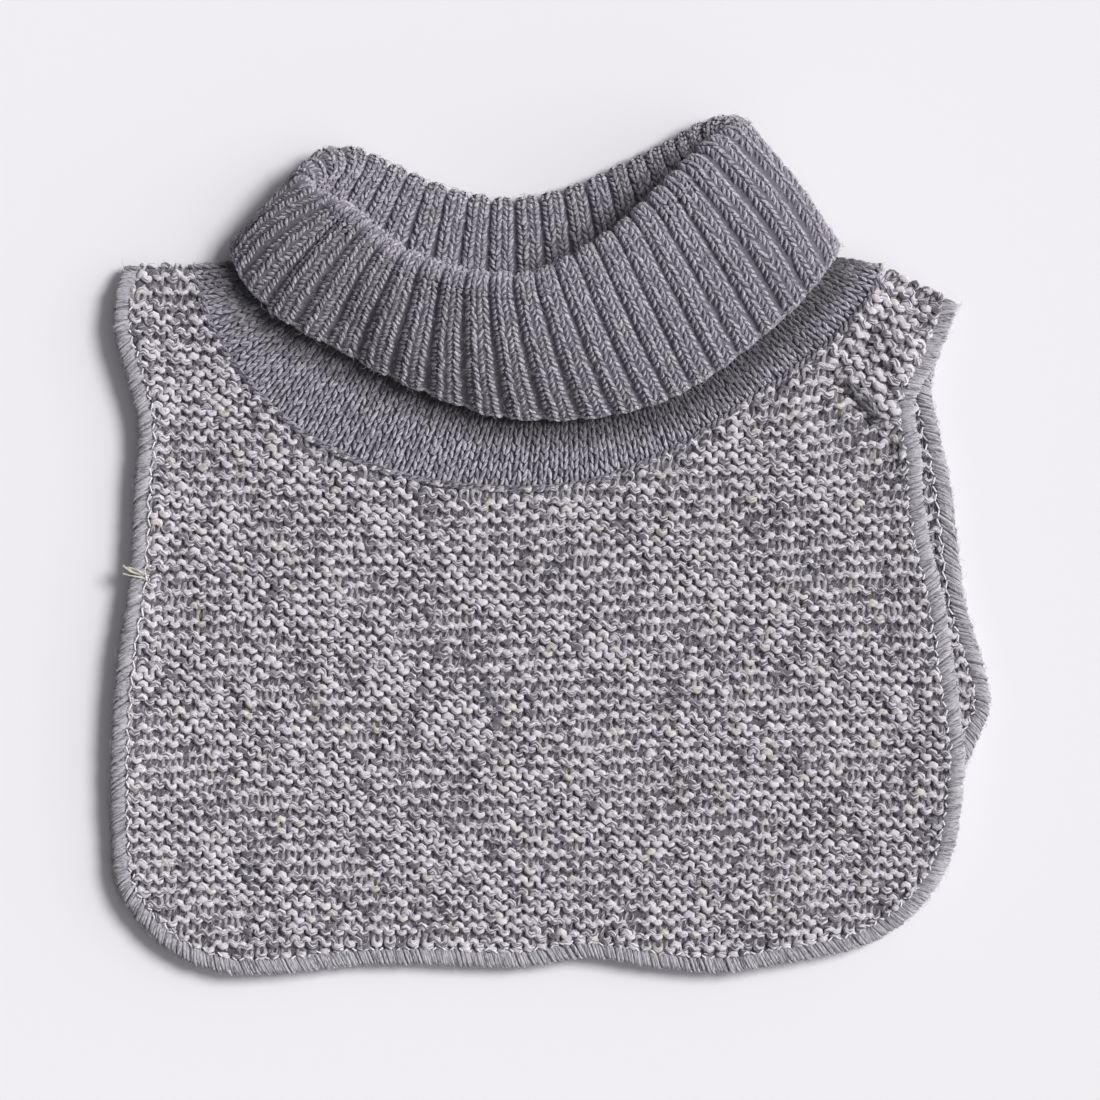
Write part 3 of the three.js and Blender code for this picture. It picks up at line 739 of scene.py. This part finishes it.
SHOULDER_TILT = math.radians(-24)  # of the rows of the right shoulder's knitting
SHOULDER_PIVOT = (126, 74)
# The line that parts the shoulder's knitting from the front's
SHOULDER_LINE = np.array([[92, 92], [101.5, 66], [111, 54], [120.5, 43.5], [170, 30], [170, 130], [92, 130]])
TUCKED = 1.0  # how far the front's loops go on under the shoulder's


def surface_tree(cloth, turns, shares, thick, side):
    """The upper (side 1) or lower (side -1) skin of a cloth, for finding heights."""
    t, s = every_pair(turns, shares)
    places = cloth(t, s) + normals(cloth, t, s) * (side * thick / 2) * pressed(t)
    a = np.arange(t.size).reshape(len(turns), -1)[:-1, :-1].ravel()
    faces = np.stack([a, a + 1, a + len(shares) + 1, a + len(shares)], -1)[:, ::side]
    return BVHTree.FromPolygons(places.tolist(), faces.tolist())


def drop_onto(tree, x, y):
    """Places of the plane moved down onto a surface, or to the nearest place on it, and its normals."""
    places, ups = np.zeros((2, x.size, 3))
    down = Vector((0, 0, -1))
    for k, (at_x, at_y) in enumerate(zip(x.ravel(), y.ravel())):
        hit, normal, _, _ = tree.ray_cast(Vector((at_x, at_y, 60)), down)
        if hit is None:
            hit, normal, _, _ = tree.find_nearest(Vector((at_x, at_y, 6)))
        places[k], ups[k] = hit, normal
    return places.reshape(*x.shape, 3), ups.reshape(*x.shape, 3)


def row_rise(x, y):
    """How far a row of the bib rises towards the right shoulder, with slight waves."""
    right = smooth((x - 20) / 130)
    high = smooth((y + 60) / 150)
    return ROW_RISE * right * right * high + 1.2 * np.sin(x / 33 + y / 50) + 0.7 * np.sin(x / 13 + y / 9)


def purl_loops(outline, tree, box, tilt=0.0, pivot=(0, 0), kept=None):
    """Rows of purl loops inside an outline, laid on a surface. box is x from and to, then y from
    and to. kept says at which points there are loops. A fold pulls them flat."""
    columns, rows = (np.arange(math.floor(low / size), math.ceil(high / size))
                     for low, high, size in zip(box[::2], box[1::2], (BIB_WALE, BIB_COURSE)))
    row_starts = dice.uniform(0, ROW_STARTS, len(rows))
    i, j = every_pair(columns, rows)
    theta = LOOP_ANGLES[None]
    taller, aside, higher, raised = np.reshape(LOOP_VARIES, (4, 1, 1)) * shaken(4, len(i), 1)
    row_y = (j * BIB_COURSE)[:, None]
    x = (i[:, None] + theta / TAU) * BIB_WALE + LOOP_SWELL * np.sin(2 * theta)
    x = x + 0.9 * np.sin(row_y / 41 + 1.3) + aside
    y = row_y + LOOP_HIGH * (1 + taller) * np.cos(theta) + higher
    if tilt == 0:
        y = y + row_rise(x, row_y)
    x, y = turned(x, y, tilt, pivot)
    up_and_down = np.cos(2 * theta)
    lift = LOOP_LIFT + LOOP_DEEP * np.sign(up_and_down) * np.abs(up_and_down) ** 0.7 + raised
    centre = np.stack([x.mean(axis=1), y.mean(axis=1)], -1)
    keep = inside(centre, outline)
    if kept is not None:
        keep &= kept(centre)
    x, y, lift, i, j = x[keep], y[keep], lift[keep], i[keep], j[keep]
    places, ups = drop_onto(tree, x, y)
    pulled = np.clip(0.25 + 0.85 * ups[:, :, 2], 0.35, 1)
    lines = places + ups * (lift * pulled)[:, :, None]
    fat = LOOP_RADIUS + LOOP_FATTER * (0.5 + 0.5 * up_and_down)
    radii = fat * vary(LOOP_RADIUS_VARIES, len(x), 1) * (0.4 + 0.6 * pulled)
    starts = (i - columns[0]) * run_along(lines)[:, -1].mean() + row_starts[j - rows[0]]
    # Painted shade: the loops' legs are darkened below their heads, and more in the crease.
    depth_and_painted_shade = np.clip(0.5 - 0.5 * up_and_down, 0, 1) + crease_painted_shade(x, y)
    return lines, radii, ups, starts, depth_and_painted_shade


def bib_outline(reach, first, last):
    """The bib between two turns, from the seam to where it lies reach in from the hem's middle."""
    turns = np.linspace(first, last, 400)
    middle, inwards, _, _ = hem_frame(turns)
    top = bib_cloth(turns, np.full_like(turns, 0.004))
    return np.concatenate([top, (middle + inwards * reach)[::-1]])[:, :2]


def crease_strands(tree):
    """Strands pressed together in the crease, darkened by its painted shade."""
    count, points = 12, 9
    f = np.linspace(-1, 1, points)[None]
    shake = shaken(3, count, 1)
    along = CREASE_STRAND * (1 + 0.1 * shake[0]) * f + 2.0 * shake[1]
    across = np.linspace(*CREASE_STRANDS, count)[:, None] + 0.5 * np.sin(along / 2.2 + 3 * shake[2])
    x, y = turned(along, across, CREASE_WAY, CREASE)
    places, ups = drop_onto(tree, x, y)
    radii = 0.85 * (1 - 0.5 * f**4)
    return places + ups * 0.5, radii, ups, dice.uniform(0, ALONG_MOST, count), crease_painted_shade(x, y)


front_turns = np.concatenate([np.linspace(-0.02, 0.52, 300), np.linspace(0.4255, 0.4955, 60)])
front_tree = surface_tree(bib_cloth, np.sort(front_turns), np.linspace(0, 1, 30), BIB_CORE, 1)
back_tree = surface_tree(bib_cloth, np.linspace(0.5, 1.0, 240), np.linspace(0, 1, 24), BIB_CORE, -1)
front_outline = bib_outline(LOOPS_END, 0.0, 0.5)
back_outline = bib_outline(LOOPS_END, 0.5, 1.0)
front_cover = bib_outline(COVER_END, 0.0, 0.5)

front_loops = purl_loops(front_outline, front_tree, (-160, 165, -156, 110),
                         kept=lambda points: ~inside(points - TUCKED, SHOULDER_LINE))
shoulder_loops = purl_loops(front_outline, front_tree, (-40, 45, -40, 45), SHOULDER_TILT, SHOULDER_PIVOT,
                            kept=lambda points: inside(points, SHOULDER_LINE))
shoulder_loops[1][:] *= SHOULDER_FULLER
left_half = front_loops[0][:, :, 0].mean(axis=1) < 0
groups = {
    "bib_stitches_left": [part[left_half] for part in front_loops],
    "bib_stitches_right": [part[~left_half] for part in front_loops],
    "bib_stitches_shoulder": shoulder_loops,
    "bib_crease_strands": crease_strands(front_tree),
}
back_loops = purl_loops(back_outline, back_tree, (118, 165, -110, 100))
peeking = ~inside(back_loops[0].mean(axis=1)[:, :2], front_cover)
groups["bib_stitches_back"] = [part[peeking] for part in back_loops]
bib_pieces = []
for name, (lines, radii, ups, starts, depth_and_painted_shade) in groups.items():
    strands = tubes(lines, radii, ups, LOOP_SIDES, starts)
    bib_pieces.append(strand_piece(name, strands, bib_yarn, np.repeat(depth_and_painted_shade.ravel(), LOOP_SIDES)))

# Plain stitches: two legs that make a V
LEG_RADIUS = 0.72
YOKE_ROWS = 14
# strength of the painted shade under the collar's free edge
FLAP_PAINTED_SHADE = 1.8
FLAP_SHADE = 11.0  # how far from the free edge the painted shade under it reaches
HIDDEN_TURNS = (0.52, 0.98)  # where the turned-down layer lies under the collar
HIDDEN_FROM = 0.62
CAST_OFFS = RIBS * 4
CAST_OFF_RADIUS = 0.85


def v_legs(surface, turns, shares, wide, course, lift, opens, points, spread, long):
    """The two legs of each stitch. wide is the width of its column in turns, course its height as a
    share of the strip, opens 1 where the V opens towards a higher share, else -1. points is how
    many points a leg has, spread how far it leans, as a share of the column, and long half its
    length, as a share of the course."""
    f = np.linspace(-1, 1, points)[None]
    parts = []
    for side in (-1, 1):
        shake = shaken(3, len(turns), 1)
        reach = (0.25 + spread * f) * side + 0.05 * shake[0]
        t = turns[:, None] + wide[:, None] * reach
        y = course[:, None] * (long * f * opens * (1 + 0.12 * shake[1]) + 0.06 * shake[2])
        place, normal = surface(t, np.clip(shares[:, None] + y, 0, 1))
        over = lift + 0.3 * (1 - f * f) - 0.4 * f + 0.1 * shake[2]
        thin = 1 - 0.4 * np.abs(f) ** 3
        radii = LEG_RADIUS * thin * vary(0.12, len(turns), 1)
        parts.append(tubes(place + normal * over[:, :, None], radii, normal, 4))
    return joined(parts)


def skin(cloth, thick, relief=None):
    """The outer skin of a cloth, as a function that gives places and normals."""
    def at(turns, shares):
        turn, share, shape = turns.ravel(), shares.ravel(), (*turns.shape, 3)
        normal = normals(cloth, turn, share)
        high = (thick / 2) * pressed(turn)
        if relief is not None:
            high = high + relief(turn, share)[:, None]
        return (cloth(turn, share) + normal * high).reshape(shape), normal.reshape(shape)
    return at


def wales_by_length(curve, count):
    """Turns that space a number of columns evenly by length along a closed curve."""
    turns = np.linspace(0, 1, 2001)
    run = run_along(curve(turns))
    return np.interp(np.arange(count) / count * run[-1], run, turns)


def yoke_stitches():
    wales = wales_by_length(seam, YOKE_WALES)
    spacing = np.gradient(np.unwrap(wales, period=1))
    kept = (wales < FRONT_ENDS[1]) | (wales > FRONT_ENDS[0])
    wales, spacing = wales[kept], spacing[kept]
    courses = YOKE_COURSE / np.linalg.norm(neck(wales) - seam(wales), axis=-1)
    t, k = every_pair(wales, np.arange(YOKE_ROWS) + 0.5)
    wide, course = np.repeat(spacing, YOKE_ROWS), np.repeat(courses, YOKE_ROWS)
    s = 1 - k * course
    fits = s > 0.02
    return v_legs(yoke_skin, t[fits], s[fits], wide[fits], course[fits], 0.3, -1, 4, 0.13, 0.62)


def painted_shade_under_flap(places):
    """How much painted shade places get in the corner under the collar's free edge."""
    edge = flap_edge(np.linspace(0, 0.5, 300))[:, :2]
    nearest = [np.min(np.hypot(*(edge - place).T)) for place in places[:, :2]]
    return FLAP_PAINTED_SHADE * np.exp(-((np.array(nearest) / FLAP_SHADE) ** 4))


def collar_courses():
    """Shares that space the collar's courses evenly by length, and their heights."""
    shares = np.linspace(0, 1, 401)
    turns = (np.arange(2, 20, 2) + 0.5) / RIBS
    run = run_along(collar_skin(*np.meshgrid(turns, shares, indexing="ij"))[0]).mean(axis=0)
    count = int(run[-1] / COLLAR_COURSE)
    middles = np.interp((np.arange(count) + 0.5) / count * run[-1], run, shares)
    return middles, np.gradient(middles)


def collar_stitches():
    courses, high = collar_courses()
    middle, s, side = every_pair((np.arange(RIBS) + 0.5) / RIBS, courses, (-1, 1))
    course = np.interp(s, courses, high)
    wide = 0.5 * rib_part(middle, s) / RIBS
    t = middle + side * 0.5 * wide
    shown = (t <= HIDDEN_TURNS[0]) | (t >= HIDDEN_TURNS[1]) | (s <= HIDDEN_FROM)
    return v_legs(collar_skin, t[shown], s[shown], wide[shown], course[shown], 0.05, 1, 3, 0.16, 0.62)


def cast_off():
    """The stitches that close the collar's free edge."""
    turns = np.linspace(-0.03, 0.53, int(0.56 * CAST_OFFS))
    f = np.linspace(-1, 1, 4)[None]
    shake = shaken(2, len(turns), 1)
    s = 0.99 + 0.004 * f * np.sign(shake[1]) + 0.002 * shake[0]
    place, normal = collar_skin(turns[:, None] + f * 0.6 / CAST_OFFS, s)
    lines = place + normal * (0.35 * (1 - f * f) - 0.35 + 0.1 * shake[0])[:, :, None]
    return tubes(lines, CAST_OFF_RADIUS * (1 - 0.3 * np.abs(f) ** 3), normal, 5)


yoke_skin = skin(yoke_cloth, YOKE_CORE)
collar_skin = skin(collar_cloth, COLLAR_CORE, rib_relief)
yoke_legs = yoke_stitches()
# The yoke's stitches get painted shade near the collar's free edge.
yoke_knit = strand_piece("yoke_stitches", yoke_legs, yoke_yarn, painted_shade_under_flap(yoke_legs[0]))
collar_knit = strand_piece("collar_stitches", collar_stitches(), rib_yarn)
# The cast-off stitches are all darkened by the same amount, 0.6, through the attribute that carries painted
# shade.
collar_edge = strand_piece("collar_cast_off", cast_off(), rib_yarn, 0.6)

# Hem threads and the cord on the seam
HEM_ROUND = 1850.0  # length of the hem's edge
HEM_THREAD_PITCH = 0.95
HEM_THREAD = 0.58  # radius
HEM_HALF = (2.8, 2.5)  # half the width and half the height of the threads round the hem
HEM_SLANT = 4.4
SCALLOP = 8.5  # length of the shallow waves in the hem's width
WHITE_STITCHES = 480
WHITE_THREAD = 0.31
SEAM_TWISTS = 230
SEAM_STRAND = 0.72


def hem_places(turns, slant):
    """The hem's frame slanted off some turns, with its third way pointing up, and its thinning."""
    t = turns[:, None] + slant
    middle, inwards, over, _ = (part.reshape(*t.shape, 3) for part in hem_frame(t.ravel()))
    facing = np.where(front_share(turns) > 0.5, -1.0, 1.0)[:, :, None]
    return middle, inwards, over * facing, pressed(t.ravel()).reshape(t.shape)


def hem_threads():
    turns = wales_by_length(hem_edge, int(HEM_ROUND / HEM_THREAD_PITCH))
    count = len(turns)
    around = np.radians(np.linspace(18, 246, 7))[None]
    scallop = 1 + 0.06 * np.sin(np.arange(count) * TAU * HEM_THREAD_PITCH / SCALLOP)[:, None]
    shake = shaken(3, count, 1)
    slant = (HEM_SLANT * (around / math.pi - 0.7) + 0.4 * shake[0]) / HEM_ROUND
    middle, inwards, over, squeeze = hem_places(turns, slant)
    wide = (HEM_HALF[0] * scallop + 0.14 * shake[1]) * np.cos(around)
    high = (HEM_HALF[1] * scallop + 0.14 * shake[2]) * np.sin(around) * squeeze
    lines = middle + inwards * wide[:, :, None] + over * high[:, :, None]
    ups = unit(inwards * np.cos(around)[:, :, None] + over * np.sin(around)[:, :, None])
    return tubes(lines, HEM_THREAD * vary(0.14, count, 1), ups, 4)


def zigzag_thread():
    """The white sewing thread on the hem's inner border, as short stitches."""
    turns = wales_by_length(hem_edge, WHITE_STITCHES)
    count = len(turns)
    lean = 1 - 2 * (np.arange(count)[:, None] % 2)
    f = np.linspace(-1, 1, 3)[None]
    middle, inwards, over, squeeze = hem_places(turns, f * 0.95 / HEM_ROUND)
    x = HEM_HALF[0] + lean * f * 0.45 + 0.25 * shaken(count, 1)
    z = (HEM_HALF[1] + 0.6 * (1 - f * f)) * squeeze + 0.3 * shaken(count, 1)
    return tubes(middle + inwards * x[:, :, None] + over * z[:, :, None], WHITE_THREAD, over, 4)


def seam_cord():
    """The two twisted strands along the seam between yoke and bib."""
    even_turns = np.append(wales_by_length(seam, SEAM_TWISTS * 10), 1.0)
    run = np.arange(SEAM_TWISTS)[:, None] + np.linspace(0, 1, 7)[None]
    t = np.interp(run.ravel() * 10, np.arange(len(even_turns)), even_turns)
    along = unit(seam(t + STEP) - seam(t - STEP))
    up = unit(np.cross(unit(hem_edge(t) - seam(t)), along))
    across = np.cross(along, up)
    parts = []
    for strand in (0, 1):
        angle = (run.ravel() * math.pi + strand * math.pi)[:, None]
        high = 2.2 * pressed(t) + 0.5 * np.sin(angle)
        cord = seam(t) + up * high + across * (0.85 * np.cos(angle))
        shape = (*run.shape, 3)
        parts.append(tubes(cord.reshape(shape), SEAM_STRAND, up.reshape(shape), 5))
    return joined(parts)


hem_knit = strand_piece("hem_threads", hem_threads(), hem_yarn)
zigzag = strand_piece("hem_white_thread", zigzag_thread(), white_yarn)
seam_line = strand_piece("seam_cord", seam_cord(), seam_yarn)

# Loose fibres
FIBRE = 0.075  # radius
HEM_FIBRE = 0.07
BIB_FIBRES = 6000
COLLAR_FIBRES = 8500
YOKE_FIBRES = 1600
HEM_FIBRES = 2200
TUFT_ROOT = [-145.5, -10.2, 9.4]
TUFT_TIP = [-153.6, -6.6, 9.4]
TUFT_STRAND = 0.32


def fuzz(name, starts, ups, length, radius, material):
    """Short curled fibres that stand off the yarn, except on the underside."""
    open_side = (ups[:, 2] > -0.3) & (starts[:, 2] > 1.0)
    starts, ups = starts[open_side], ups[open_side]
    count = len(starts)
    sideways = unit(np.cross(ups, shaken(count, 3)))
    other = np.cross(ups, sideways)
    bend = dice.uniform(-1.4, 1.4, (count, 1, 1))
    f = np.linspace(0, 1, 3)[None, :, None]
    long = length * dice.uniform(0.4, 1.3, (count, 1, 1))
    path = sideways[:, None] * f + other[:, None] * (bend * f * f) + ups[:, None] * (1.1 * f * (1.15 - f))
    strands = tubes(starts[:, None] + path * long, radius * (1 - 0.5 * f[:, :, 0]), ups[:, None], 3)
    return strand_piece(name, strands, material)


def picked(lines, radii, ups, count):
    """Random places on top of some strands, with the way up there."""
    strand = dice.integers(0, len(lines), count)
    point = dice.integers(0, lines.shape[1], count)
    up = ups[strand, point]
    return lines[strand, point] + up * radii[strand, point][:, None] * 0.8, up


def fuzz_on_skin(name, surface, count, first, last, material):
    """Fibres at random places on a skin."""
    starts, ups = surface(dice.uniform(first, last, count), dice.uniform(0.02, 1, count))
    return fuzz(name, starts + ups * 0.7, ups, 2.2, FIBRE, material)


def hem_fibres(count):
    around = dice.uniform(0.6, 3.6, count)[:, None]
    turns = wales_by_length(hem_edge, count)
    middle, inwards, over, squeeze = (part[:, 0] for part in hem_places(turns, 0.0))
    out = unit(inwards * np.cos(around) + over * np.sin(around))
    starts = middle + inwards * np.cos(around) * 3.1 + over * np.sin(around) * 2.9 * squeeze[:, None]
    return fuzz("hem_fuzz", starts, out, 2.4, HEM_FIBRE, hem_yarn)


def stray_tuft():
    """A tuft of cream yarn that has come loose at the left hem."""
    strands, points = 9, 5
    f = np.linspace(0, 1, points)[None, :, None]
    start = np.array(TUFT_ROOT) + dice.normal(0, 0.5, (strands, 1, 3))
    end = np.array(TUFT_TIP) + dice.normal(0, 0.8, (strands, 1, 3))
    bow = (dice.normal(0, 0.8, (strands, 1, 3)) + np.array([0, 0, 0.9])) * np.sin(np.pi * f)
    return tubes(mix(start, end, f) + bow, TUFT_STRAND, np.array([0, 0, 1.0]), 5)


starts, ups = picked(*front_loops[:3], BIB_FIBRES)
bib_fuzz = fuzz("bib_fuzz", starts, ups, 2.4, FIBRE, bib_yarn)
collar_fuzz = fuzz_on_skin("collar_fuzz", collar_skin, COLLAR_FIBRES, 0, 1, rib_yarn)
yoke_fuzz = fuzz_on_skin("yoke_fuzz", yoke_skin, YOKE_FIBRES, -0.02, 0.52, yoke_yarn)
hem_fuzz = hem_fibres(HEM_FIBRES)
tuft = strand_piece("stray_tuft", stray_tuft(), cream_yarn)

# Which piece stands for what
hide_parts("bib")
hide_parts("yoke")
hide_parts("collar")
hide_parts("hem")
slots = {
    "marled_wool": [bib, *bib_pieces, bib_fuzz, tuft],
    "plain_wool": [yoke, yoke_knit, seam_line, yoke_fuzz],
    "rib_wool": [collar, collar_knit, collar_edge, collar_fuzz],
    "hem_yarn": [hem, hem_knit, zigzag, hem_fuzz],
}
for slot, pieces in slots.items():
    for piece in pieces:
        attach(piece, "root")

# Floor, lights, even sky and camera, in metres
FLOOR_HALF = 400.0
FLOOR_DROP = 0.0001
SKY_COLOUR = (0.98, 0.97, 1.0, 1)
SKY_ABOVE = 0.3
SKY_FROM_RIGHT = 0.28  # how much brighter than above
VIEW_WIDE = 0.396  # across the picture at the height of the bib
BIB_LEVEL = 0.007
CAMERA_PLACE = (0.00055, -0.00095, 3.5)
SENSOR_WIDE = 36
VIEW_END = 1000


def plain_floor():
    mesh = bpy.data.meshes.new("floor")
    corners = [(x * FLOOR_HALF, y * FLOOR_HALF, 0) for x, y in ((-1, -1), (1, -1), (1, 1), (-1, 1))]
    mesh.from_pydata(corners, [], [(0, 1, 2, 3)])
    n = Nodes(bpy.data.materials.new("pale_floor"))
    mesh.materials.append(n.finish(n.add("ShaderNodeBsdfDiffuse", {"Color": srgb(240, 238, 241)})))
    floor = link("floor", mesh)
    floor.location.z = -FLOOR_DROP
    return floor


def add_sun(name, direction, energy, angle):
    light = bpy.data.lights.new(name, "SUN")
    light.energy = energy
    light.angle = math.radians(angle)
    link(name, light).rotation_euler = Vector(direction).to_track_quat("Z", "Y").to_euler()


def add_sky():
    n = Nodes(bpy.data.worlds.new("studio"))
    way = n.add("ShaderNodeSeparateXYZ", {0: n.add("ShaderNodeTexCoord").outputs["Generated"]})
    inputs = {0: way.outputs[0], 1: SKY_FROM_RIGHT, 2: SKY_ABOVE}
    strength = n.add("ShaderNodeMath", inputs, operation="MULTIPLY_ADD").outputs[0]
    light = n.add("ShaderNodeBackground", {"Color": SKY_COLOUR, "Strength": strength})
    n.add("ShaderNodeOutputWorld", {0: light.outputs[0]})
    bpy.context.scene.world = n.owner


floor = plain_floor()
add_sun("key", (1.0, 0.42, 1.25), 2.66, 23)
add_sun("side", (1.0, 0.1, 0.36), 0.7, 50)
add_sky()

lens = bpy.data.cameras.new("camera")
lens.sensor_width = SENSOR_WIDE
lens.lens = SENSOR_WIDE * (CAMERA_PLACE[2] - BIB_LEVEL) / VIEW_WIDE
lens.clip_end = VIEW_END
camera = link("camera", lens)
camera.location = CAMERA_PLACE
bpy.context.scene.camera = camera
bpy.context.scene.view_settings.view_transform = "Standard"
